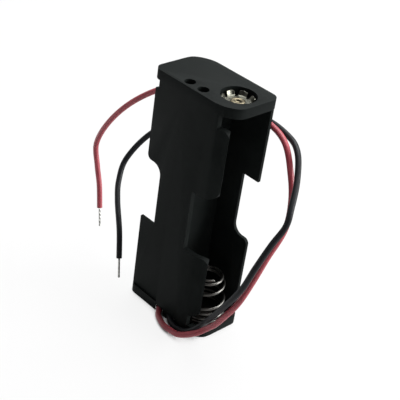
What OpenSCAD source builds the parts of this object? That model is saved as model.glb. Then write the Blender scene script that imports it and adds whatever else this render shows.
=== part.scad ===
// Two-cell cell holder: a moulded body with one compartment on each side of a
// central web, a conical spring and a stamped contact for each cell, and two
// flying leads.  Units are millimetres, +Z runs along the cells, and the origin
// is the middle of the bottom plate's outer face.

/* [Cells] */
// diameter of each cell
cell_diameter = 10.5; // [8:0.5:20]
// length of each cell
cell_length = 44.5; // [30:0.5:70]
// gap between a cell and the web or wall beside it
cell_clearance = 0.15; // [0.05:0.05:0.6]
// length kept for the squeezed spring and the contact
spring_room = 7.1; // [4:0.1:14]

/* [Body] */
// thickness of each end plate
plate_thickness = 2.2; // [1.4:0.1:4]
// thickness of the web between the cells
web_thickness = 1; // [0.6:0.1:3]
// thickness of the wall that is flush with the plates
wall_thickness = 1.1; // [0.7:0.1:2]
// step from the flush wall in to the flat panel
panel_step = 0.4; // [0.1:0.05:0.7]
// plate length beyond each cell
plate_cover = 0.25; // [0:0.05:2]
// radius of the two tight plate corners
corner_small = 2; // [0.5:0.1:3]
// radius of the two wide plate corners, as a share of half the plate width
corner_big_share = 0.8; // [0.4:0.05:0.95]
// how far the wrapped tab goes round its cell, in degrees
tab_wrap = 40; // [20:1:60]
// setback of the flat panel from the plate's end
panel_setback = 0.8; // [0.2:0.1:2]
// how much higher the finger gaps are in the back wall than a turned-over front wall would have them
back_lift = 1.2; // [0:0.1:2]

/* [Contacts] */
// how far each contact and spring sits outward of its cell's axis
contact_shift = 0.4; // [0:0.1:0.6]
// diameter of the round opening over each stamped contact
contact_opening = 7.4; // [4:0.1:12]
// depth of the contact's ledge below the plate's outer face
contact_depth = 1.7; // [1:0.1:2]
// thickness of the contact and link sheet
sheet_thickness = 0.3; // [0.2:0.05:0.6]
// diameter of the spring wire
spring_wire = 0.6; // [0.3:0.05:1]
// free height of each spring above its seat
spring_height = 10.6; // [6:0.1:16]
// gap round a rivet in the holes it passes through
rivet_clearance = 0.05; // [0.02:0.01:0.2]

/* [Leads] */
// outside diameter of the lead insulation
lead_diameter = 1.3; // [0.8:0.05:2]
// diameter of the tinned conductor
conductor_diameter = 0.5; // [0.3:0.05:0.9]
// bare length at each free end
bare_length = 4.5; // [2:0.5:10]
// diameter of the lead holes
lead_hole = 2.4; // [1.4:0.1:4]

/* [Hidden] */
$fn = 48;
eps = 0.01;
over = 0.2;
cell_r = cell_diameter / 2;
inner_y = cell_r + cell_clearance;
half_y = inner_y + wall_thickness;
axis_x = web_thickness / 2 + cell_clearance + cell_r;
contact_x = axis_x + contact_shift;
half_x = axis_x + cell_r + plate_cover;
inner_length = cell_length + spring_room;
total_z = inner_length + 2 * plate_thickness;
corner_big = corner_big_share * half_y;
panel_y = half_y - panel_step;
panel_x = half_x - panel_setback;
step_x = -0.19 * half_x;
tab_x = axis_x + half_y * sin(tab_wrap);
gap_low = 0.367 * total_z;
gap_high = total_z - gap_low;
gap_left_x = -0.545 * half_x;
gap_right_x = 0.335 * half_x;
notch_z = 2.8;
notch_x = axis_x + 0.27 * half_y;
opening_r = contact_opening / 2;
rivet_r = 1.1;
rivet_flange_r = 1.55;
button_r = 2.3;
ledge_hole_r = rivet_r + rivet_clearance;
seat_r = 4.85;
spring_base_r = 4.5;
spring_top_r = 2.6;
hole_y = -0.72 * half_y;
hole_red_x = -0.23 * half_x;
hole_black_x = 0.105 * half_x;
lead_r = lead_diameter / 2;
groove_width = lead_diameter + 0.4;
groove_height = lead_diameter + 0.3;
groove_length = 9;
hole_relief = 0.8;
lead_z = lead_r + 0.1;
strip_width = 3.2;
link_gap = 0.2;
gap_high_left = gap_high - 0.3;
gap_high_right = gap_high - 0.7;
gap_fillet = 2.4;
panel_corner = 1.2;
panel_foot = 0.8;
neck_depth = 0.9;
neck_height = 2.2;
tab_corner_high = 3;
tab_corner_low = 1.7;
tab_shoulder_high = 1.8;
tab_shoulder_low = 2.2;

// ---------------------------------------------------------------- helpers
module post(x, y, z0, z1, r) { translate([x, y, z0]) cylinder(h = z1 - z0, r = r); }
module box3(x0, x1, y0, y1, z0, z1) { translate([x0, y0, z0]) cube([x1 - x0, y1 - y0, z1 - z0]); }
// a bar along y that squares off or fills one rounded corner in the x-z plane
module corner_bar(x, z, dx, dz, r, y0, y1) {
  far_x = x + dx * r;
  far_z = z + dz * r;
  near_x = x - dx * over;
  near_z = z - dz * over;
  difference() {
    box3(min(near_x, far_x), max(near_x, far_x), y0, y1, min(near_z, far_z), max(near_z, far_z));
    translate([far_x, y0 - 1, far_z]) rotate([-90, 0, 0]) cylinder(h = y1 - y0 + 2, r = r);
  }
}
// the same for a vertical edge of a plate
module corner_post(x, y, dx, dy, r, z0, z1) {
  far_x = x + dx * r;
  far_y = y + dy * r;
  difference() {
    box3(min(far_x, x - dx), max(far_x, x - dx), min(far_y, y - dy), max(far_y, y - dy), z0, z1);
    post(far_x, far_y, z0 - 1, z1 + 1, r);
  }
}

// ---------------------------------------------------------------- body
module plate_blank(z0, z1) {
  difference() {
    box3(-half_x, half_x, -half_y, half_y, z0, z1);
    corner_post(-half_x, -half_y, 1, 1, corner_small, z0 - 1, z1 + 1);
    corner_post(half_x, half_y, -1, -1, corner_small, z0 - 1, z1 + 1);
    corner_post(half_x, -half_y, -1, 1, corner_big, z0 - 1, z1 + 1);
    corner_post(-half_x, half_y, 1, -1, corner_big, z0 - 1, z1 + 1);
  }
}
module wall_blank() {
  z0 = plate_thickness - eps;
  z1 = total_z - plate_thickness + eps;
  box3(-panel_x, step_x, -panel_y, -inner_y, z0, z1);
  box3(step_x - eps, axis_x, -half_y, -inner_y, z0, z1);
  difference() {
    post(axis_x, 0, z0, z1, half_y);
    post(axis_x, 0, z0 - 1, z1 + 1, inner_y);
    box3(axis_x - half_y - 1, axis_x - eps, -half_y - 1, half_y + 1, z0 - 1, z1 + 1);
    translate([axis_x, 0, 0]) rotate([0, 0, tab_wrap])
      box3(0, 2 * half_y, -2 * half_y, 2 * half_y, z0 - 1, z1 + 1);
    box3(axis_x - 1, axis_x + half_y, 0, half_y + 1, z0 - 1, z1 + 1);
  }
}
// front wall, with its finger gaps, notches and rounded tab corners; lift moves the gaps down,
// so that they end up higher in the copy that is turned over to make the back wall
module front_wall(lift = 0) {
  y0 = -half_y - 1;
  y1 = -cell_r * 0.5;
  end = half_x + 2;
  low = gap_low - lift;
  high_left = gap_high_left - lift;
  high_right = gap_high_right - lift;
  top = total_z - plate_thickness;
  difference() {
    wall_blank();
    // finger gap beside the left cell, with one wide fillet
    difference() {
      box3(-end, gap_left_x, y0, y1, low, high_left);
      corner_bar(gap_left_x, high_left, -1, -1, gap_fillet, y0 - 1, y1 + 1);
    }
    corner_bar(-panel_x, high_left, 1, 1, panel_corner, y0, y1);
    corner_bar(-panel_x, plate_thickness, 1, 1, panel_foot, y0, y1);
    box3(-end, -panel_x + neck_depth, y0, y1, top - neck_height, top);
    // finger gap beside the right cell
    box3(gap_right_x, end, y0, y1, low, high_right);
    corner_bar(tab_x, high_right, -1, 1, tab_corner_high, y0, y1);
    corner_bar(tab_x, low, -1, -1, tab_corner_low, y0, y1);
    // notches where the wrapped tabs meet the plates
    box3(notch_x, end, y0, y1, top - notch_z, top);
    corner_bar(tab_x, top - notch_z, -1, -1, tab_shoulder_high, y0, y1);
    box3(notch_x, end, y0, y1, plate_thickness, plate_thickness + notch_z);
    corner_bar(tab_x, plate_thickness + notch_z, -1, 1, tab_shoulder_low, y0, y1);
  }
}
module inverted() { translate([0, 0, total_z]) rotate([0, 0, 180]) mirror([0, 0, 1]) children(); }
module lead_groove(x) {
  translate([x, hole_y, -1]) rotate([0, 0, -45]) translate([0, -groove_width / 2, 0])
    cube([groove_length, groove_width, 1 + groove_height]);
}
module contact_seat() {
  post(contact_x, 0, total_z - contact_depth, total_z + 1, opening_r);
  post(contact_x, 0, total_z - plate_thickness - 1, total_z + 1, ledge_hole_r);
}
module body() {
  half_web = web_thickness / 2;
  top = total_z - plate_thickness;
  slot_y = strip_width / 2 + link_gap;
  color([0.09, 0.1, 0.1]) difference() {
    union() {
      plate_blank(0, plate_thickness);
      plate_blank(top, total_z);
      box3(-half_web, half_web, -inner_y - eps, inner_y + eps, plate_thickness - eps, top + eps);
      front_wall();
      inverted() front_wall(back_lift);
    }
    contact_seat();
    inverted() contact_seat();
    for (x = [hole_red_x, hole_black_x]) {
      post(x, hole_y, top - hole_relief, total_z + 1, lead_hole / 2);
      post(x, hole_y, -1, plate_thickness + hole_relief, lead_hole / 2);
      lead_groove(x);
    }
    // slot that lets the series link pass through the web
    box3(-web_thickness, web_thickness, -slot_y, slot_y, top - sheet_thickness - link_gap, top);
  }
}

// ---------------------------------------------------------------- contacts
petal_count = 7;
petal_lean = 72;
petal_phase = 12;
rosette_r = opening_r * 0.68;
petal_length = 1.4;
petal_width = 1.75;
petal_root = 0.1;
rosette_z = total_z - contact_depth;
module rosette_shape() {
  difference() {
    union() {
      post(0, 0, 0, sheet_thickness, rosette_r);
      for (k = [0:petal_count - 1]) rotate([0, 0, k * 360 / petal_count + petal_phase])
        translate([rosette_r, 0, 0]) rotate([0, -petal_lean, 0]) translate([-petal_root, -petal_width / 2, 0])
          cube([petal_length + petal_root, petal_width, sheet_thickness]);
    }
    post(0, 0, -1, 2, ledge_hole_r);
    box3(-opening_r, opening_r, -opening_r, opening_r, -2, 0);
  }
}
rivet_bore_r = 0.6;
rivet_lip = 0.2;
button_rim = 0.3;
button_dome = 0.8;
dome_r = 1.5;
module rivet_shape() {
  // flange on the outer side, hollow shank, button for the cell on the inner side
  ledge = plate_thickness - contact_depth;
  under = -ledge - sheet_thickness;
  flange_z = sheet_thickness + rivet_lip;
  rotate_extrude() polygon([[rivet_bore_r, flange_z], [rivet_flange_r, flange_z],
    [rivet_flange_r, sheet_thickness], [rivet_r, sheet_thickness], [rivet_r, under], [button_r, under],
    [button_r, under - button_rim], [dome_r, under - button_dome + 0.1], [0, under - button_dome],
    [0, -ledge], [rivet_bore_r, -ledge]]);
}
module rosette_top() { color([0.8, 0.77, 0.7]) translate([contact_x, 0, rosette_z]) rosette_shape(); }
module rosette_bottom() {
  color([0.8, 0.77, 0.7]) inverted() translate([contact_x, 0, rosette_z]) rosette_shape();
}
module rivet_top() { color([0.72, 0.68, 0.6]) translate([contact_x, 0, rosette_z]) rivet_shape(); }
module rivet_bottom() {
  color([0.72, 0.68, 0.6]) inverted() translate([contact_x, 0, rosette_z]) rivet_shape();
}

// series link: spring seat of the left cell joined to the contact of the right cell
module link_top() {
  z1 = total_z - plate_thickness;
  z0 = z1 - sheet_thickness;
  color([0.75, 0.74, 0.7]) difference() {
    union() {
      post(-contact_x, 0, z0, z1, seat_r);
      post(contact_x, 0, z0, z1, button_r);
      box3(-contact_x, contact_x, -strip_width / 2, strip_width / 2, z0, z1);
    }
    post(contact_x, 0, z0 - 1, z1 + 1, ledge_hole_r);
  }
}
// spring seat of the right cell with its solder tag
tag_hole_r = conductor_diameter / 2 + 0.1;
tag_r = 0.62;
seat_z = plate_thickness + sheet_thickness;
module tag_end(x, from_x) {
  dx = from_x - x;
  reach = norm([dx, hole_y]);
  post(x, hole_y, plate_thickness, seat_z, tag_r);
  translate([x, hole_y, plate_thickness]) rotate([0, 0, atan2(-hole_y, dx)]) translate([0, -tag_r, 0])
    cube([reach, 2 * tag_r, sheet_thickness]);
}
module seat_bottom() {
  color([0.75, 0.74, 0.7]) difference() {
    union() {
      post(contact_x, 0, plate_thickness, seat_z, seat_r);
      tag_end(hole_black_x, contact_x);
    }
    post(hole_black_x, hole_y, plate_thickness - 1, seat_z + 1, tag_hole_r);
  }
}
// solder tag under the left cell's contact
module tag_bottom() {
  color([0.75, 0.74, 0.7]) difference() {
    union() {
      post(-contact_x, 0, plate_thickness, seat_z, button_r);
      tag_end(hole_red_x, -contact_x);
    }
    post(-contact_x, 0, plate_thickness - 1, seat_z + 1, ledge_hole_r);
    post(hole_red_x, hole_y, plate_thickness - 1, seat_z + 1, tag_hole_r);
  }
}

// ---------------------------------------------------------------- swept tubes
function unit(v) = v / norm(v);
function tangents(p) = [for (i = [0:len(p) - 1]) unit(p[min(i + 1, len(p) - 1)] - p[max(i - 1, 0)])];
function normals(t, i, n) = i == len(t) ? [] :
  let (m = unit(n - (n * t[i]) * t[i])) concat([m], normals(t, i + 1, m));
module tube(p, r, sides = 8) {
  t = tangents(p);
  n = normals(t, 0, abs(t[0][0]) < 0.7 ? [1, 0, 0] : [0, 1, 0]);
  q = len(p);
  pts = [for (i = [0:q - 1]) for (k = [0:sides - 1])
    p[i] + r * (cos(360 * k / sides) * n[i] + sin(360 * k / sides) * cross(t[i], n[i]))];
  faces = concat([[for (k = [0:sides - 1]) k]],
    [for (i = [0:q - 2]) for (k = [0:sides - 1])
      [i * sides + k, (i + 1) * sides + k, (i + 1) * sides + (k + 1) % sides, i * sides + (k + 1) % sides]],
    [[for (k = [sides - 1:-1:0]) (q - 1) * sides + k]]);
  polyhedron(points = pts, faces = faces, convexity = 6);
}
// smooth curve through a list of points
function curve_at(a, b, c, d, u) =
  0.5 * (2 * b + (c - a) * u + (2 * a - 5 * b + 4 * c - d) * u * u + (3 * b - a - 3 * c + d) * u * u * u);
function curve(w, n) = let (m = len(w)) concat([for (i = [0:m - 2]) for (j = [0:n - 1])
  curve_at(w[max(i - 1, 0)], w[i], w[i + 1], w[min(i + 2, m - 1)], j / n)], [w[m - 1]]);

// spring: closed turns on the seat, open turns that narrow slowly, a close turn at the tip;
// each key is [turns from the seat, share of the radius range, share of the height]
spring_keys = [[0, 1, 0], [0.5, 1, 0.018], [1, 1, 0.063], [1.5, 0.97, 0.11], [2, 0.92, 0.17],
  [2.5, 0.87, 0.235], [3, 0.84, 0.27], [3.5, 0.82, 0.385], [4, 0.71, 0.57], [4.5, 0.61, 0.77],
  [5, 0.47, 0.89], [5.5, 0.29, 0.965], [6, 0.08, 0.99], [6.4, 0, 1]];
spring_turn = 200;
spring_points = [for (k = curve(spring_keys, 6)) let (r = spring_top_r + (spring_base_r - spring_top_r) * k[1])
  [r * cos(360 * k[0]), r * sin(360 * k[0]), spring_wire / 2 + (spring_height - spring_wire) * k[2]]];
module spring_shape() { tube(spring_points, spring_wire / 2, 6); }
module spring_right() {
  color([0.78, 0.76, 0.7]) translate([contact_x, 0, seat_z]) rotate([0, 0, spring_turn]) spring_shape();
}
module spring_left() {
  color([0.78, 0.76, 0.7]) translate([-contact_x, 0, total_z - seat_z])
    rotate([180, 0, 220 - spring_turn]) spring_shape();
}

// ---------------------------------------------------------------- leads
// start of each lead, from its hole in the bottom plate out through its groove
function lead_start(x) = [[x, hole_y, plate_thickness - 0.45], [x + 0.25, hole_y - 0.25, 1.1 * lead_z + 0.25],
  [x + 0.85, hole_y - 0.85, lead_z], [x + 2.1, hole_y - 2.1, lead_z]];
route_red = concat(lead_start(hole_red_x), [[0.2, -7.6, 0.75], [1.9, -8.5, 0.8], [4.1, -9.2, 0.85],
  [6.3, -9.3, 1.1], [8.6, -9.4, 1.7], [10.7, -8.8, 2.8], [12.8, -7.8, 4.4], [14.1, -6.7, 5.9],
  [15.9, -6.3, 8.1], [17.8, -6, 11.4], [19.4, -5.5, 14.5], [20.3, -4.6, 17.3], [20.9, -2.6, 21.8],
  [21.3, -0.5, 26.4], [21.5, 3, 32], [19.5, 6, 36], [16.5, 8, 40.5], [11.5, 10, 45.5], [3.5, 11.5, 46.5],
  [-8, 11, 46.5], [-17.5, 9, 45], [-23.5, 7, 42], [-29.5, 4.5, 36.5], [-34, 2.5, 30], [-36.5, 1.5, 23.5],
  [-35, 1, 18.5], [-33, 0.5, 14], [-31, -0.5, 9]]);
route_black = concat(lead_start(hole_black_x), [[5.5, -7.4, 0.8], [7.2, -7.2, 0.8], [8.9, -6.7, 1.5],
  [10.6, -6, 3.2], [11.8, -5.4, 5], [13.9, -6.1, 8], [16.5, -6.6, 12.2], [19.5, -6.6, 17.4],
  [21.1, -5.9, 21.2], [21.9, -4.3, 25.8], [22.6, -1.6, 30.9], [23.1, 1, 34.6], [22, 3, 37.5],
  [19, 7, 41], [15, 10.5, 44.5], [10, 12.5, 45.5], [1.5, 14, 45], [-10, 14, 41.5], [-18, 11, 37],
  [-23.5, 6, 31], [-25.5, 1.5, 25], [-24, -1.5, 21], [-21, -4, 18], [-16, -7, 13.5], [-13.5, -8.5, 8]]);
lead_top_z = plate_thickness - 0.2;
curve_red = concat([[hole_red_x, hole_y, lead_top_z]], curve(route_red, 2));
curve_black = concat([[hole_black_x, hole_y, lead_top_z]], curve(route_black, 2));
function tip(c) = let (q = len(c), d = unit(c[q - 1] - c[q - 2])) [c[q - 1], c[q - 1] + bare_length * d];
module lead_red() { color([0.6, 0.2, 0.24]) tube(curve_red, lead_r); }
module lead_black() { color([0.12, 0.13, 0.14]) tube(curve_black, lead_r); }
stub_rise = 0.25;
module conductor(path, x) {
  color([0.75, 0.75, 0.72]) {
    tube(tip(path), conductor_diameter / 2);
    post(x, hole_y, lead_top_z, seat_z + stub_rise, conductor_diameter / 2);
  }
}
module conductor_red() { conductor(curve_red, hole_red_x); }
module conductor_black() { conductor(curve_black, hole_black_x); }
solder_profile = [[conductor_diameter / 2, 0], [0.58, 0], [0.5, 0.28], [0.34, 0.48], [0, 0.55], [0, stub_rise],
  [conductor_diameter / 2, stub_rise]];
module solder(x) {
  color([0.7, 0.71, 0.72]) translate([x, hole_y, seat_z]) rotate_extrude() polygon(solder_profile);
}
module solder_red() { solder(hole_red_x); }
module solder_black() { solder(hole_black_x); }

body();
rosette_top();
rosette_bottom();
rivet_top();
rivet_bottom();
link_top();
seat_bottom();
tag_bottom();
spring_right();
spring_left();
lead_red();
lead_black();
conductor_red();
conductor_black();
solder_red();
solder_black();
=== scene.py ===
"""Looks of a two-cell holder: one black moulding, springs, stamped contacts and two flying leads.

Lengths are written in millimetres and turned into metres by MM, the frame's unit.
"""

import math

import bpy
import bmesh
import numpy as np
from mathutils import Matrix, Vector


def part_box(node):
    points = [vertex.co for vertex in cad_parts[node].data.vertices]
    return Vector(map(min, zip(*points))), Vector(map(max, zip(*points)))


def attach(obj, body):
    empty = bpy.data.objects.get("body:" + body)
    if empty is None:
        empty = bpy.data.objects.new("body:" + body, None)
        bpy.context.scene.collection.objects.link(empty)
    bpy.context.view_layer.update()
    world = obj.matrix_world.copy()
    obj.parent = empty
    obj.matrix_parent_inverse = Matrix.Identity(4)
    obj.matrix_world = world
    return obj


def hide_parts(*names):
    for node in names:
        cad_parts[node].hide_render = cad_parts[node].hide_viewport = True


MM = 0.001

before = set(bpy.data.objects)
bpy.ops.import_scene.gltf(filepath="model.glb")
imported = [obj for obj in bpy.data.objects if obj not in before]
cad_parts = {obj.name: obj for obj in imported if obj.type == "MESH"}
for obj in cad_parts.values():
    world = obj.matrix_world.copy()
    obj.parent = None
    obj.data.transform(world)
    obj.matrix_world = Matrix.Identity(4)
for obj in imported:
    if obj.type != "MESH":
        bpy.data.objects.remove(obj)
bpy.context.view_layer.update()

# ---------------------------------------------------------------- sizes taken from the frame
body_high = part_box("body")[1]
half_x, half_y, top_z = body_high[0] / MM, body_high[1] / MM, body_high[2] / MM
rivet_low, rivet_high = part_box("rivet_top")
red_joint_low, red_joint_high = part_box("solder_red")
black_joint_low, black_joint_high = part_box("solder_black")
contact_x = (rivet_low[0] + rivet_high[0]) / 2 / MM
seat_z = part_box("seat_bottom")[1][2] / MM
rosette_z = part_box("rosette_top")[0][2] / MM
rivet_top_z = rivet_high[2] / MM
rivet_bottom_z = rivet_low[2] / MM
hole_red_x = (red_joint_low[0] + red_joint_high[0]) / 2 / MM
hole_black_x = (black_joint_low[0] + black_joint_high[0]) / 2 / MM
hole_y = (red_joint_low[1] + red_joint_high[1]) / 2 / MM

# ---------------------------------------------------------------- sizes of the visible finish
lead_diameter = 1.3
conductor_diameter = 0.5
bare_length = 4.5
floor_gap = 0.1
lead_z = lead_diameter / 2 + floor_gap
lead_top_z = 2.0
cut_edge = 0.07
strand_lobe_depth = 0.17
strand_twist = 3.3
tip_length = 0.16
sheet = 0.3
spring_wire = 0.6
plate_thickness = 2.2
corner_big_share = 0.8
corner_blend = 20.0
axis_x = 5.9
spring_base_r = 4.5
spring_top_r = 2.6
spring_height = 10.6
petal_count = 7
petal_lean = math.radians(58)
petal_width = 1.75
petal_length = 1.1
petal_bend_r = 0.45
petal_turn = math.radians(12)
ledge_hole_r = 1.15
opening_r = 3.7
rosette_r = 0.68 * opening_r
shank_r = 1.1
button_r = 2.28
mould_round = 0.16


# ---------------------------------------------------------------- curves and frames along them
def curve(points, steps):
    """Cubic through a list of points, with each end point doubled: between points b and c it is
    half of (2b + (c-a)u + (2a-5b+4c-d)u^2 + (3b-a-3c+d)u^3)."""
    w = np.asarray(points, float)
    padded = np.concatenate([w[:1], w, w[-1:]])
    a, b, c, d = (padded[k : k + len(w) - 1, None, :] for k in range(4))
    u = (np.arange(steps) / steps)[None, :, None]
    q = 0.5 * (2 * b + (c - a) * u + (2 * a - 5 * b + 4 * c - d) * u**2 + (3 * b - a - 3 * c + d) * u**3)
    return np.concatenate([q.reshape(-1, w.shape[1]), w[-1:]])


def arc_lengths(path):
    """Distance from the path's start to each of its points."""
    return np.concatenate([[0], np.cumsum(np.linalg.norm(np.diff(path, axis=0), axis=1))])


def frames(path):
    """Unit tangents, and two unit normals carried along the path without twist."""
    tangent = np.gradient(path, axis=0)
    tangent /= np.linalg.norm(tangent, axis=1)[:, None]
    first = np.array([1.0, 0, 0]) if abs(tangent[0, 0]) < 0.7 else np.array([0, 1.0, 0])
    normal = np.empty_like(path)
    for i, t in enumerate(tangent):
        first = first - (first @ t) * t
        first = first / np.linalg.norm(first)
        normal[i] = first
    return tangent, normal, np.cross(tangent, normal)


# ---------------------------------------------------------------- meshes from grids
def grid_mesh(name, grids, closed_across=True):
    """One mesh from grids of points (along, across, 3) in millimetres: each cell is a quad,
    and the grid closes on itself across when asked."""
    verts, faces, start = [], [], 0
    for grid in grids:
        n, m = grid.shape[:2]
        index = start + np.arange(n * m).reshape(n, m)
        right = np.roll(index, -1, axis=1) if closed_across else index[:, 1:]
        left = index if closed_across else index[:, :-1]
        cells = np.stack([left[:-1], right[:-1], right[1:], left[1:]], axis=-1)
        verts.append(grid.reshape(-1, 3))
        faces.append(cells.reshape(-1, 4))
        start += n * m
    points = np.concatenate(verts) * MM
    quads = np.concatenate(faces)
    mesh = bpy.data.meshes.new(name)
    mesh.from_pydata(points.tolist(), [], quads.tolist())
    merged = bmesh.new()
    merged.from_mesh(mesh)
    bmesh.ops.remove_doubles(merged, verts=merged.verts, dist=0.0005 * MM)
    bmesh.ops.recalc_face_normals(merged, faces=merged.faces)
    merged.to_mesh(mesh)
    merged.free()
    mesh.polygons.foreach_set("use_smooth", [True] * len(mesh.polygons))
    return mesh


def add_piece(name, mesh, material, replaces=()):
    """A mesh becomes a piece of the object that rides on the root body."""
    piece = bpy.data.objects.new(name, mesh)
    bpy.context.scene.collection.objects.link(piece)
    mesh.materials.append(material)
    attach(piece, "root")
    if replaces:
        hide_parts(*replaces)
    return piece


def sweep(path, radius_along, sides=20, squash=None):
    """A round section carried along a path: radius_along is [distance, radius] pairs, and the
    section's centre is where that distance falls on the path. squash multiplies the radius by
    a function of angle and distance."""
    length = arc_lengths(path)
    tangent, normal, binormal = frames(path)
    s, r = np.asarray(radius_along, float).T

    def along(values):
        """Values of the path at each distance of the profile."""
        return np.stack([np.interp(s, length, values[:, k]) for k in range(3)], axis=1)

    centre, n, b = along(path), along(normal), along(binormal)
    angle = np.linspace(0, 2 * np.pi, sides, endpoint=False)
    rr = np.repeat(r[:, None], sides, axis=1)
    if squash is not None:
        rr = rr * squash(angle[None, :], s[:, None])
    return centre[:, None, :] + rr[..., None] * (
        np.cos(angle)[None, :, None] * n[:, None, :] + np.sin(angle)[None, :, None] * b[:, None, :]
    )


def lathe(profile, centre, sides=48, flip=1):
    """A profile of [radius, height] pairs turned about the vertical through centre; flip -1
    points it downwards."""
    r, z = np.asarray(profile, float).T
    angle = np.linspace(0, 2 * np.pi, sides, endpoint=False)
    x = centre[0] + r[:, None] * np.cos(angle)[None, :]
    y = centre[1] + flip * r[:, None] * np.sin(angle)[None, :]
    return np.stack([x, y, np.repeat(centre[2] + flip * z[:, None], sides, axis=1)], axis=-1)


def inverted(grid):
    """Carries points of the upper right half through the body's middle, into the lower left."""
    return np.stack([-grid[..., 0], -grid[..., 1], top_z - grid[..., 2]], axis=-1)


# ---------------------------------------------------------------- camera
def make_camera():
    """A long lens from the front right, above, rolled a little so that the holder leans."""
    place = Vector((121.6, -132.1, 140.7)) * MM
    aim = Vector((-7.5, 0.0, 17.3)) * MM
    roll = math.radians(7.8)
    back = (place - aim).normalized()
    right = Vector((0, 0, 1)).cross(back).normalized()
    up = back.cross(right)
    turned_right = right * math.cos(roll) + up * math.sin(roll)
    turned_up = up * math.cos(roll) - right * math.sin(roll)
    lens = bpy.data.cameras.new("camera")
    lens.sensor_width = 36
    lens.lens = 90
    lens.shift_x = 0.0768
    lens.shift_y = 0.0645
    lens.clip_start = 0.01
    lens.clip_end = 10
    camera = bpy.data.objects.new("camera", lens)
    turn = Matrix((turned_right, turned_up, back)).transposed()
    camera.matrix_world = Matrix.Translation(place) @ turn.to_4x4()
    bpy.context.scene.collection.objects.link(camera)
    bpy.context.scene.camera = camera


make_camera()


# ---------------------------------------------------------------- shader helpers
def new_material(name):
    """An empty node material with its Principled shader and Object coordinates."""
    material = bpy.data.materials.new(name)
    material.use_nodes = True
    nodes = material.node_tree.nodes
    shader = nodes["Principled BSDF"]
    place = nodes.new("ShaderNodeTexCoord")
    return material, nodes, material.node_tree.links, shader, place.outputs["Object"]


def add_range(nodes, links, value, low, high, to_low, to_high):
    """Maps low..high to to_low..to_high and holds the ends."""
    mapped = nodes.new("ShaderNodeMapRange")
    for name, number in (("From Min", low), ("From Max", high), ("To Min", to_low), ("To Max", to_high)):
        mapped.inputs[name].default_value = number
    links.new(value, mapped.inputs["Value"])
    return mapped.outputs["Result"]


def add_mix(nodes, links, factor, colour_a, colour_b):
    """Colour between a and b by factor."""
    mix = nodes.new("ShaderNodeMix")
    mix.data_type = "RGBA"
    links.new(factor, mix.inputs["Factor"])
    for socket, colour in ((mix.inputs[6], colour_a), (mix.inputs[7], colour_b)):
        if isinstance(colour, bpy.types.NodeSocket):
            links.new(colour, socket)
        else:
            socket.default_value = (*colour, 1)
    return mix.outputs[2]


def add_bump(nodes, links, height, shader, distance, strength=1.0):
    """Height in 0..1 times distance in metres, as a bump on the shader's normal."""
    bump = nodes.new("ShaderNodeBump")
    bump.inputs["Distance"].default_value = distance
    bump.inputs["Strength"].default_value = strength
    links.new(height, bump.inputs["Height"])
    links.new(bump.outputs["Normal"], shader.inputs["Normal"])
    return bump


def grain_group():
    """Fine and coarse grain of a moulded or rolled surface: Height for bump and Tone for colour
    and gloss, with the grain's size and the share of the coarse part as inputs."""
    group = bpy.data.node_groups.new("surface_grain", "ShaderNodeTree")
    sockets = group.interface
    sockets.new_socket("Vector", in_out="INPUT", socket_type="NodeSocketVector")
    for name, value in (("Fine Scale", 5000.0), ("Coarse Scale", 300.0), ("Coarse Share", 0.3)):
        sockets.new_socket(name, in_out="INPUT", socket_type="NodeSocketFloat").default_value = value
    sockets.new_socket("Height", in_out="OUTPUT", socket_type="NodeSocketFloat")
    sockets.new_socket("Tone", in_out="OUTPUT", socket_type="NodeSocketFloat")
    nodes, links = group.nodes, group.links
    source, sink = nodes.new("NodeGroupInput"), nodes.new("NodeGroupOutput")
    values = []
    for name, detail in (("Fine Scale", 2.0), ("Coarse Scale", 4.0)):
        noise = nodes.new("ShaderNodeTexNoise")
        noise.inputs["Detail"].default_value = detail
        links.new(source.outputs["Vector"], noise.inputs["Vector"])
        links.new(source.outputs[name], noise.inputs["Scale"])
        values.append(noise.outputs["Fac"])
    blend = nodes.new("ShaderNodeMix")
    links.new(source.outputs["Coarse Share"], blend.inputs["Factor"])
    links.new(values[0], blend.inputs[2])
    links.new(values[1], blend.inputs[3])
    links.new(blend.outputs[0], sink.inputs["Height"])
    links.new(values[1], sink.inputs["Tone"])
    return group


SURFACE_GRAIN = grain_group()


def add_grain(nodes, links, vector, fine, coarse, share):
    """Places the grain group and returns its height and tone."""
    node = nodes.new("ShaderNodeGroup")
    node.node_tree = SURFACE_GRAIN
    links.new(vector, node.inputs["Vector"])
    node.inputs["Fine Scale"].default_value = fine
    node.inputs["Coarse Scale"].default_value = coarse
    node.inputs["Coarse Share"].default_value = share
    return node.outputs["Height"], node.outputs["Tone"]


# ---------------------------------------------------------------- materials
def black_moulding():
    """Charcoal thermoplastic: satin skin with a fine spark-eroded grain and faint flow clouding."""
    material, nodes, links, shader, place = new_material("black_moulding")
    height, tone = add_grain(nodes, links, place, 5200.0, 240.0, 0.25)
    cloud = add_range(nodes, links, tone, 0.35, 0.65, 0, 1)
    colour = add_mix(nodes, links, cloud, (0.0080, 0.0096, 0.0092), (0.0104, 0.0122, 0.0118))
    links.new(colour, shader.inputs["Base Color"])
    links.new(add_range(nodes, links, tone, 0.3, 0.7, 0.44, 0.54), shader.inputs["Roughness"])
    shader.inputs["Specular IOR Level"].default_value = 0.024
    add_bump(nodes, links, height, shader, 0.012 * MM, 0.7)
    return material


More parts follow.
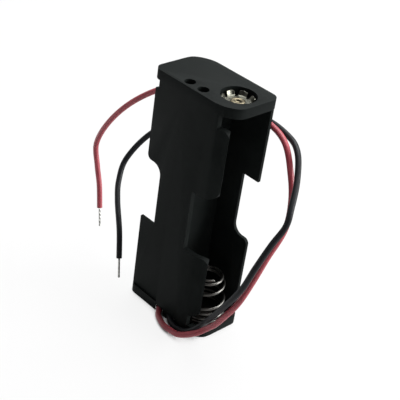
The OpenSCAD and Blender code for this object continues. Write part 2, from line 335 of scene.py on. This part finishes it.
def lead_insulation(name, dark, light, rough_low, rough_high, gloss):
    """Soft PVC sleeve: slight mottling, a fine grain and a satin sheen."""
    material, nodes, links, shader, place = new_material(name)
    height, tone = add_grain(nodes, links, place, 2600.0, 320.0, 0.4)
    colour = add_mix(nodes, links, add_range(nodes, links, tone, 0.35, 0.65, 0, 1), dark, light)
    links.new(colour, shader.inputs["Base Color"])
    links.new(add_range(nodes, links, tone, 0.3, 0.7, rough_low, rough_high), shader.inputs["Roughness"])
    shader.inputs["Specular IOR Level"].default_value = gloss
    add_bump(nodes, links, height, shader, 0.01 * MM, 0.5)
    return material


def metal(name, grain, colours, roughness, bump, spread=(0.35, 0.65), stretch=None):
    """A bare metal: grain is its fine scale, coarse scale and coarse share, colours the dull and
    the bright end, spread the part of the grain's tone that runs between them, roughness its
    range, and bump the height in millimetres and the strength. A stretch draws the grain out
    into brush lines."""
    material, nodes, links, shader, place = new_material(name)
    if stretch:
        drawn = nodes.new("ShaderNodeMapping")
        drawn.inputs["Scale"].default_value = stretch
        links.new(place, drawn.inputs["Vector"])
        place = drawn.outputs["Vector"]
    height, tone = add_grain(nodes, links, place, *grain)
    colour = add_mix(nodes, links, add_range(nodes, links, tone, *spread, 0, 1), *colours)
    links.new(colour, shader.inputs["Base Color"])
    shader.inputs["Metallic"].default_value = 1.0
    links.new(add_range(nodes, links, tone, 0.3, 0.7, *roughness), shader.inputs["Roughness"])
    add_bump(nodes, links, height, shader, bump[0] * MM, bump[1])
    return material


def nickel_wire_painted_shade():
    """Drawn spring wire with a thin nickel plating, mottled along and across. Its colour is held far
    darker than bare nickel, a painted shade for the spring, which sits in shade inside the case.
    """
    # both ends of the wire's colour are painted shade, well below bare nickel
    colours = (0.100, 0.097, 0.090), (0.150, 0.147, 0.137)
    return metal("nickel_wire_painted_shade", (4200.0, 700.0, 0.5), colours, (0.26, 0.38), (0.006, 0.5))


def nickel_sheet_painted_shade():
    """Rolled and plated contact sheet, a little warm, with a fine brushed grain. Its colour is held far
    darker than bare nickel, a painted shade for the contacts inside the compartments.
    """
    # both ends of the sheet's colour are painted shade, well below bare nickel
    colours = (0.100, 0.100, 0.081), (0.155, 0.155, 0.128)
    brushed = (1.0, 9.0, 1.0)
    return metal(
        "nickel_sheet_painted_shade", (1500.0, 260.0, 0.35), colours, (0.24, 0.36), (0.008, 0.6), stretch=brushed
    )


def seat_painted_shade():
    """Spring seat and link: plated strip, coloured almost black as a painted shade for the floor of the
    compartment.
    """
    # painted shade: the strip's colour is held almost black
    colours = (0.035, 0.030, 0.026), (0.085, 0.078, 0.068)
    return metal("seat_painted_shade", (2400.0, 500.0, 0.5), colours, (0.45, 0.60), (0.01, 0.6))


def dull_rivet():
    """Rivet metal, browner and duller than the sheet round it."""
    colours = (0.10, 0.085, 0.055), (0.17, 0.15, 0.10)
    return metal("dull_rivet", (3000.0, 900.0, 0.5), colours, (0.30, 0.45), (0.01, 0.6))


def tinned_strands():
    """Tinned copper: grey, soft metal with small bright and dull patches."""
    colours = (0.40, 0.40, 0.38), (0.66, 0.66, 0.63)
    patches = (0.38, 0.62)
    return metal(
        "tinned_strands", (3800.0, 1100.0, 0.5), colours, (0.28, 0.46), (0.01, 0.6), spread=patches
    )


MOULDING = black_moulding()
WIRE = nickel_wire_painted_shade()
SHEET = nickel_sheet_painted_shade()
RIVET = dull_rivet()
SEAT = seat_painted_shade()
RED_SLEEVE = lead_insulation(
    "red_sleeve", (0.280, 0.040, 0.053), (0.330, 0.055, 0.070), 0.38, 0.48, 0.4
)
BLACK_SLEEVE = lead_insulation(
    "black_sleeve", (0.0085, 0.0092, 0.0110), (0.0120, 0.0128, 0.0150), 0.40, 0.50, 0.16
)
TINNED = tinned_strands()


# ---------------------------------------------------------------- leads
def lead_start(x):
    """From a lead's hole in the bottom plate out through its groove."""
    return [
        [x, hole_y, lead_top_z - 0.25],
        [x + 0.25, hole_y - 0.25, 1.1 * lead_z + 0.25],
        [x + 0.85, hole_y - 0.85, lead_z],
        [x + 2.1, hole_y - 2.1, lead_z],
    ]


ROUTE_RED = lead_start(hole_red_x) + [
    [0.2, -7.6, 0.75], [1.9, -8.5, 0.8], [4.1, -9.2, 0.85], [6.3, -9.3, 1.1], [8.6, -9.4, 1.7],
    [10.7, -8.8, 2.8], [12.8, -7.8, 4.4], [14.1, -6.7, 5.9], [15.9, -6.3, 8.1], [17.8, -6, 11.4],
    [19.4, -5.5, 14.5], [20.3, -4.6, 17.3], [20.9, -2.6, 21.8], [21.3, -0.5, 26.4], [21.5, 3, 32],
    [19.5, 6, 36], [16.5, 8, 40.5], [11.5, 10, 45.5], [3.5, 11.5, 46.5], [-8, 11, 46.5],
    [-17.5, 9, 45], [-23.5, 7, 42], [-29.5, 4.5, 36.5], [-34, 2.5, 30], [-36.5, 1.5, 23.5],
    [-35, 1, 18.5], [-33, 0.5, 14], [-31, -0.5, 9],
]
ROUTE_BLACK = lead_start(hole_black_x) + [
    [5.5, -7.4, 0.8], [7.2, -7.2, 0.8], [8.9, -6.7, 1.5], [10.6, -6, 3.2], [11.8, -5.4, 5],
    [13.9, -6.1, 8], [16.5, -6.6, 12.2], [19.5, -6.6, 17.4], [21.1, -5.9, 21.2], [21.9, -4.3, 25.8],
    [22.6, -1.6, 30.9], [23.1, 1, 34.6], [22, 3, 37.5], [19, 7, 41], [15, 10.5, 44.5],
    [10, 12.5, 45.5], [1.5, 14, 45], [-10, 14, 41.5], [-18, 11, 37], [-23.5, 6, 31],
    [-25.5, 1.5, 25], [-24, -1.5, 21], [-21, -4, 18], [-16, -7, 13.5], [-13.5, -8.5, 8],
]


def make_lead(name, route, x, sleeve, node):
    """A sleeve along its route: full radius, with a small rounded edge at each cut end that
    closes onto the conductor."""
    path = np.concatenate([[[x, hole_y, lead_top_z]], curve(route, 10)])
    length = arc_lengths(path)[-1]
    r, core = lead_diameter / 2, conductor_diameter / 2
    edge = cut_edge
    profile = [[0, core], [0, r - edge], [edge, r]]
    profile += [[s, r] for s in np.linspace(edge * 2, length - edge * 2, 300)]
    profile += [[length - edge, r], [length - 0.3 * edge, r - 0.3 * edge], [length, r - edge]]
    profile += [[length, core + 0.05], [length - 0.25, core]]
    piece = add_piece(name, grid_mesh(name, [close_ends(sweep(path, profile, 24))]), sleeve, (node,))
    points = path * MM
    return piece, path, length, points


def close_ends(grid):
    """Adds a point in the middle of each open end of a grid, so that the surface is closed."""
    first = np.repeat(grid[:1].mean(axis=1, keepdims=True), grid.shape[1], axis=1)
    last = np.repeat(grid[-1:].mean(axis=1, keepdims=True), grid.shape[1], axis=1)
    return np.concatenate([first, grid, last])


def make_conductor(name, path, x, node, material):
    """Stripped end: a tinned bundle whose section has six soft lobes that turn as they go
    along, and the stub that rises through the solder tag at the near end. The lobes are
    1 - depth * |sin(3 angle + twist * distance)| to the power 1.5."""
    core = conductor_diameter / 2
    direction = path[-1] - path[-2]
    direction /= np.linalg.norm(direction)
    distance = np.linspace(-0.2, bare_length, 60)
    line = path[-1] + distance[:, None] * direction

    def lobes(angle, s):
        """Share of the radius at an angle round the bundle and a distance along it."""
        return 1 - strand_lobe_depth * np.abs(np.sin(3 * angle + strand_twist * s)) ** 1.5

    total = arc_lengths(line)[-1]
    profile = [[s, core] for s in np.linspace(0, total - tip_length, 80)]
    profile += [
        [total - tip_length * (1 - math.sin(a)), core * math.cos(a)] for a in np.linspace(0.2, 1.5, 6)
    ]
    tip = close_ends(sweep(line, profile, 36, lobes))
    stub_line = np.linspace([x, hole_y, lead_top_z - 0.1], [x, hole_y, seat_z + 0.25], 6)
    stub_profile = [[s, core * 0.98] for s in np.linspace(0, arc_lengths(stub_line)[-1], 6)]
    stub = close_ends(sweep(stub_line, stub_profile, 20))
    return add_piece(name, grid_mesh(name, [tip, stub]), material, (node,))


red_lead, red_path, red_length, red_points = make_lead(
    "red_lead_sleeve", ROUTE_RED, hole_red_x, RED_SLEEVE, "lead_red"
)
black_lead, black_path, black_length, black_points = make_lead(
    "black_lead_sleeve", ROUTE_BLACK, hole_black_x, BLACK_SLEEVE, "lead_black"
)
red_end = make_conductor("red_lead_strands", red_path, hole_red_x, "conductor_red", TINNED)
black_end = make_conductor("black_lead_strands", black_path, hole_black_x, "conductor_black", TINNED)


# ---------------------------------------------------------------- moulded body
def follow_compartment(mesh):
    """Moves the wide corners of both plates out along rays from the corner's own centre, to the
    nearer of the end face and the circle about the cell's axis that the wall's outside follows.
    The two are blended by the root of the sum of their powers, so where they meet is rounded."""
    count = len(mesh.vertices)
    points = np.empty(count * 3)
    mesh.vertices.foreach_get("co", points)
    points = points.reshape(count, 3) / MM
    corner_r = corner_big_share * half_y
    centre = np.array([half_x - corner_r, corner_r - half_y])
    slack = 0.01
    height = points[:, 2]
    in_plate = (height < plate_thickness + slack) | (height > top_z - plate_thickness - slack)
    for side in (1, -1):
        place = side * points[:, :2]
        offset = place - centre
        reach = np.linalg.norm(offset, axis=1)
        on_arc = np.abs(reach - corner_r) < slack
        chosen = in_plate & on_arc & (offset[:, 0] > -slack) & (offset[:, 1] < slack)
        ray = offset[chosen] / reach[chosen, None]
        from_axis = centre - [axis_x, 0]
        b = ray @ from_axis
        to_circle = -b + np.sqrt(b**2 - from_axis @ from_axis + half_y**2)
        to_end = corner_r / np.maximum(ray[:, 0], 1e-6)
        reached = (to_circle**-corner_blend + to_end**-corner_blend) ** (-1 / corner_blend)
        place[chosen] = centre + ray * reached[:, None]
        points[:, :2] = side * place
    mesh.vertices.foreach_set("co", (points * MM).ravel())
    mesh.update()


def make_body():
    """The moulding: the frame's own solid with its vertices joined and its flat faces made
    whole, then every hard edge given the small round that a mould leaves."""
    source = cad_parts["body"]
    mesh = source.data.copy()
    mesh.transform(source.matrix_world)
    mesh.materials.clear()
    shape = bmesh.new()
    shape.from_mesh(mesh)
    bmesh.ops.remove_doubles(shape, verts=shape.verts, dist=0.002 * MM)
    bmesh.ops.dissolve_degenerate(shape, edges=shape.edges, dist=0.004 * MM)
    bmesh.ops.dissolve_limit(shape, angle_limit=math.radians(1.0), verts=shape.verts, edges=shape.edges)
    for face in shape.faces:
        face.smooth = True
    shape.to_mesh(mesh)
    shape.free()
    follow_compartment(mesh)
    piece = add_piece("moulded_body", mesh, MOULDING, ("body",))
    rounds = piece.modifiers.new("mould rounds", "BEVEL")
    rounds.width = mould_round * MM
    rounds.segments = 3
    rounds.limit_method = "ANGLE"
    rounds.angle_limit = math.radians(32)
    rounds.harden_normals = True
    rounds.use_clamp_overlap = True
    return piece


make_body()


# ---------------------------------------------------------------- springs
SPRING_KEYS = [
    [0, 1, 0], [0.5, 1, 0.018], [1, 1, 0.063], [1.5, 0.97, 0.11], [2, 0.92, 0.17], [2.5, 0.87, 0.235],
    [3, 0.84, 0.27], [3.5, 0.82, 0.385], [4, 0.71, 0.57], [4.5, 0.61, 0.77], [5, 0.47, 0.89],
    [5.5, 0.29, 0.965], [6, 0.08, 0.99], [6.4, 0, 1],
]


def spring_line():
    """Helix whose radius and height follow keys of [turns, share of radius, share of height]."""
    turns, radius, height = curve(SPRING_KEYS, 20).T
    r = spring_top_r + (spring_base_r - spring_top_r) * radius
    z = spring_wire / 2 + (spring_height - spring_wire) * height
    angle = 2 * np.pi * turns
    return np.stack([r * np.cos(angle), r * np.sin(angle), z], axis=1)


def make_spring(name, node, centre_x, turn, upside_down):
    """Wire of one radius along the helix, with cut ends whose edges are just broken."""
    line = spring_line()
    if upside_down:
        line = line * [1, -1, -1]
        base = top_z - seat_z
    else:
        base = seat_z
    c, s = math.cos(turn), math.sin(turn)
    line = line @ np.array([[c, s, 0], [-s, c, 0], [0, 0, 1]]) + [centre_x, 0, base]
    total = arc_lengths(line)[-1]
    r = spring_wire / 2
    profile = [[0, r * 0.85], [0.05, r]] + [[d, r] for d in np.linspace(0.2, total - 0.2, 420)]
    profile += [[total - 0.05, r], [total, r * 0.85]]
    mesh = grid_mesh(name, [close_ends(sweep(line, profile, 16))])
    return add_piece(name, mesh, WIRE, (node,))


make_spring("cell_spring_right", "spring_right", contact_x, math.radians(200), False)
make_spring("cell_spring_left", "spring_left", -contact_x, math.radians(-20), True)


# ---------------------------------------------------------------- stamped contacts
def rosette_grids():
    """Middle surface of the contact. Inside the base radius it is a flat ring in polar form.
    Beyond it, each petal keeps its width and runs out along a line that bends up through the
    lean angle on a small radius and then goes straight, with its two far corners rounded."""
    half_angle = math.asin(petal_width / 2 / rosette_r)
    sector = 2 * math.pi / petal_count
    across = np.linspace(-1, 1, 13)
    gap = np.linspace(half_angle, sector - half_angle, 5)[1:-1]
    one_sector = np.concatenate([across * half_angle, gap])
    ring_angles = np.concatenate([one_sector + k * sector for k in range(petal_count)])
    radii = np.linspace(ledge_hole_r + 0.02, rosette_r, 6)
    a = ring_angles + petal_turn
    ring = np.stack(
        [radii[:, None] * np.cos(a), radii[:, None] * np.sin(a), np.zeros((len(radii), len(a)))], axis=-1
    )
    bend = np.linspace(0, petal_lean, 7)[1:]
    out = petal_bend_r * np.sin(bend)
    up = petal_bend_r * (1 - np.cos(bend))
    straight = np.linspace(0, petal_length - petal_bend_r * petal_lean * 0.6, 12)[1:]
    out = np.concatenate([[0], out, out[-1] + straight * math.cos(petal_lean)])
    up = np.concatenate([[0], up, up[-1] + straight * math.sin(petal_lean)])
    share = np.clip((np.arange(len(out)) - (len(out) - 4)) / 3, 0, 1)
    width = 1 - 0.16 * share**3
    petals = []
    for k in range(petal_count):
        radial = rosette_r * np.cos(across * half_angle)[None, :] + out[:, None]
        side = rosette_r * np.sin(across * half_angle)[None, :] * width[:, None]
        b = k * sector + petal_turn
        petals.append(np.stack(
            [radial * math.cos(b) - side * math.sin(b), radial * math.sin(b) + side * math.cos(b),
             np.repeat(up[:, None], len(across), axis=1)], axis=-1))
    return ring, petals


def make_rosette(name, node, upside_down):
    """Stamped sheet contact: the middle surface given the sheet's thickness and broken edges."""
    ring, petals = rosette_grids()
    place = np.array([contact_x, 0, rosette_z + sheet / 2])
    ring, petals = ring + place, [p + place for p in petals]
    if upside_down:
        ring, petals = inverted(ring), [inverted(p) for p in petals]
    closed_ring = np.concatenate([ring, ring[:, :1]], axis=1)
    mesh = grid_mesh(name, [closed_ring] + petals, closed_across=False)
    piece = add_piece(name, mesh, SHEET, (node,))
    thick = piece.modifiers.new("sheet thickness", "SOLIDIFY")
    thick.thickness = sheet * MM * 0.9
    thick.offset = 0
    edge = piece.modifiers.new("broken edges", "BEVEL")
    edge.width = 0.05 * MM
    edge.segments = 2
    edge.limit_method = "ANGLE"
    edge.angle_limit = math.radians(50)
    return piece


make_rosette("contact_rosette_top", "rosette_top", False)
make_rosette("contact_rosette_bottom", "rosette_bottom", True)


def rivet_profile():
    """Rivet from its hollow mouth over the rolled flange, down the shank and round the button."""
    flange_z = sheet
    top = rivet_top_z - rosette_z
    head = -(rosette_z - rivet_bottom_z)
    under = -(rosette_z - (top_z - plate_thickness)) - sheet
    inner = [[0.0, 0.02], [0.35, 0.03], [0.58, 0.1]]
    roll = [
        [1.07 + 0.46 * math.cos(a), flange_z + 0.02 + (top - flange_z - 0.03) * math.sin(a)]
        for a in np.linspace(math.pi, 0, 9)
    ]
    shank = [[shank_r, flange_z], [shank_r, under]]
    shoulder = [[button_r - 0.08, under], [button_r, under - 0.08]]
    dome = [
        [button_r * math.cos(a) ** 0.7, under - 0.3 + (head - under + 0.3) * math.sin(a)]
        for a in np.linspace(0.02, 1.55, 10)
    ]
    return inner + roll + shank + shoulder + dome + [[0.0, head]]


def make_rivet(name, node, upside_down):
    """The rivet's profile turned about the cell's axis."""
    grid = lathe(rivet_profile(), (contact_x, 0, rosette_z))
    if upside_down:
        grid = inverted(grid)
    return add_piece(name, grid_mesh(name, [grid]), RIVET, (node,))


make_rivet("contact_rivet_top", "rivet_top", False)
make_rivet("contact_rivet_bottom", "rivet_bottom", True)


# ---------------------------------------------------------------- solder joints
def make_solder(name, node, x):
    """Low cone of solder with a concave flank that wets the tag and rises to the conductor."""
    flank = [[0.58 - 0.36 * u ** 0.6, 0.015 + 0.44 * u**1.8] for u in np.linspace(0, 1, 10)]
    profile = [[0.0, 0.0], [0.5, 0.0]] + flank + [[0.12, 0.52], [0.0, 0.54]]
    grid = lathe(profile, (x, hole_y, seat_z), 32)
    return add_piece(name, grid_mesh(name, [grid]), TINNED, (node,))


make_solder("solder_joint_red", "solder_red", hole_red_x)
make_solder("solder_joint_black", "solder_black", hole_black_x)

# the seat and link take the metal coloured as painted shade, and the tag takes the sheet, also held dark
# as painted shade
for node, material in (("link_top", SEAT), ("seat_bottom", SEAT), ("tag_bottom", SHEET)):
    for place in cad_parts[node].material_slots:
        place.material = material


# ---------------------------------------------------------------- floor, backdrop and lights
def seen_rays(nodes, links):
    """1 for a ray from the camera, from a gloss or through glass, and 0 for one that only lights."""
    rays = nodes.new("ShaderNodeLightPath")
    total = rays.outputs["Is Camera Ray"]
    for name in ("Is Glossy Ray", "Is Transmission Ray"):
        larger = nodes.new("ShaderNodeMath")
        larger.operation = "MAXIMUM"
        links.new(total, larger.inputs[0])
        links.new(rays.outputs[name], larger.inputs[1])
        total = larger.outputs[0]
    return total


def make_floor():
    """A wide pale floor that shows as white and keeps a faint shadow under the holder. It goes dark in
    the narrow gaps beneath it, where an occlusion node paints shade into the floor's white glow."""
    mesh = bpy.data.meshes.new("floor")
    size = 3.0
    corners = [(-size, -size, 0), (size, -size, 0), (size, size, 0), (-size, size, 0)]
    mesh.from_pydata(corners, [], [(0, 1, 2, 3)])
    floor = bpy.data.objects.new("floor", mesh)
    bpy.context.scene.collection.objects.link(floor)
    material = bpy.data.materials.new("pale_floor")
    material.use_nodes = True
    nodes, links = material.node_tree.nodes, material.node_tree.links
    nodes.clear()
    diffuse = nodes.new("ShaderNodeBsdfDiffuse")
    diffuse.inputs["Color"].default_value = (0.6, 0.6, 0.6, 1)
    glow = nodes.new("ShaderNodeEmission")
    glow.inputs["Strength"].default_value = 1.0
    # painted shade: close to the holder the occlusion lowers the floor's white glow, so narrow gaps go
    # dark
    painted_gap_shade = nodes.new("ShaderNodeAmbientOcclusion")
    painted_gap_shade.samples = 12
    painted_gap_shade.inputs["Distance"].default_value = 4 * MM
    open_share = add_range(nodes, links, painted_gap_shade.outputs["AO"], 0.30, 0.62, 0.0, 0.88)
    share = nodes.new("ShaderNodeMath")
    share.operation = "MULTIPLY"
    mix = nodes.new("ShaderNodeMixShader")
    out = nodes.new("ShaderNodeOutputMaterial")
    links.new(seen_rays(nodes, links), share.inputs[0])
    links.new(open_share, share.inputs[1])
    links.new(share.outputs[0], mix.inputs["Fac"])
    links.new(diffuse.outputs[0], mix.inputs[1])
    links.new(glow.outputs[0], mix.inputs[2])
    links.new(mix.outputs[0], out.inputs["Surface"])
    mesh.materials.append(material)


def make_world():
    """White where the camera sees it, dimmer for a gloss or glass that faces the dark side of the
    room in front, and a soft grey as a light."""
    world = bpy.data.worlds.new("studio")
    bpy.context.scene.world = world
    world.use_nodes = True
    nodes, links = world.node_tree.nodes, world.node_tree.links
    nodes.clear()
    white, soft = nodes.new("ShaderNodeBackground"), nodes.new("ShaderNodeBackground")
    toward = nodes.new("ShaderNodeTexCoord")
    facing = nodes.new("ShaderNodeVectorMath")
    facing.operation = "DOT_PRODUCT"
    facing.inputs[1].default_value = Vector((0.62, -0.70, 0.15)).normalized()
    links.new(toward.outputs["Generated"], facing.inputs[0])
    seen, level = nodes.new("ShaderNodeLightPath"), nodes.new("ShaderNodeMath")
    level.operation = "MAXIMUM"
    links.new(seen.outputs["Is Camera Ray"], level.inputs[0])
    links.new(add_range(nodes, links, facing.outputs["Value"], 0.0, 0.7, 0.66, 0.08), level.inputs[1])
    links.new(level.outputs[0], white.inputs["Strength"])
    white.inputs["Color"].default_value = (1, 1, 1, 1)
    soft.inputs["Color"].default_value = (0.96, 0.98, 1.0, 1)
    soft.inputs["Strength"].default_value = 0.20
    mix, out = nodes.new("ShaderNodeMixShader"), nodes.new("ShaderNodeOutputWorld")
    links.new(seen_rays(nodes, links), mix.inputs["Fac"])
    links.new(soft.outputs[0], mix.inputs[1])
    links.new(white.outputs[0], mix.inputs[2])
    links.new(mix.outputs[0], out.inputs["Surface"])


def add_softbox(name, place, aim, size, power):
    """A square area lamp in millimetres that faces a point."""
    lamp = bpy.data.lights.new(name, "AREA")
    lamp.shape = "SQUARE"
    lamp.size = size * MM
    lamp.energy = power
    box = bpy.data.objects.new(name, lamp)
    box.location = Vector(place) * MM
    box.rotation_euler = (Vector(aim) * MM - box.location).to_track_quat("-Z", "Y").to_euler()
    bpy.context.scene.collection.objects.link(box)


make_floor()
make_world()
add_softbox("top_softbox", (-60, 180, 430), (0, 0, 40), 360, 3.5)
add_softbox("rim_softbox", (300, 260, 180), (0, 0, 30), 220, 2.4)
add_softbox("left_softbox", (-62, -34, 2), (-8, -6, 8), 30, 0.006)
bpy.context.scene.view_settings.view_transform = "Standard"
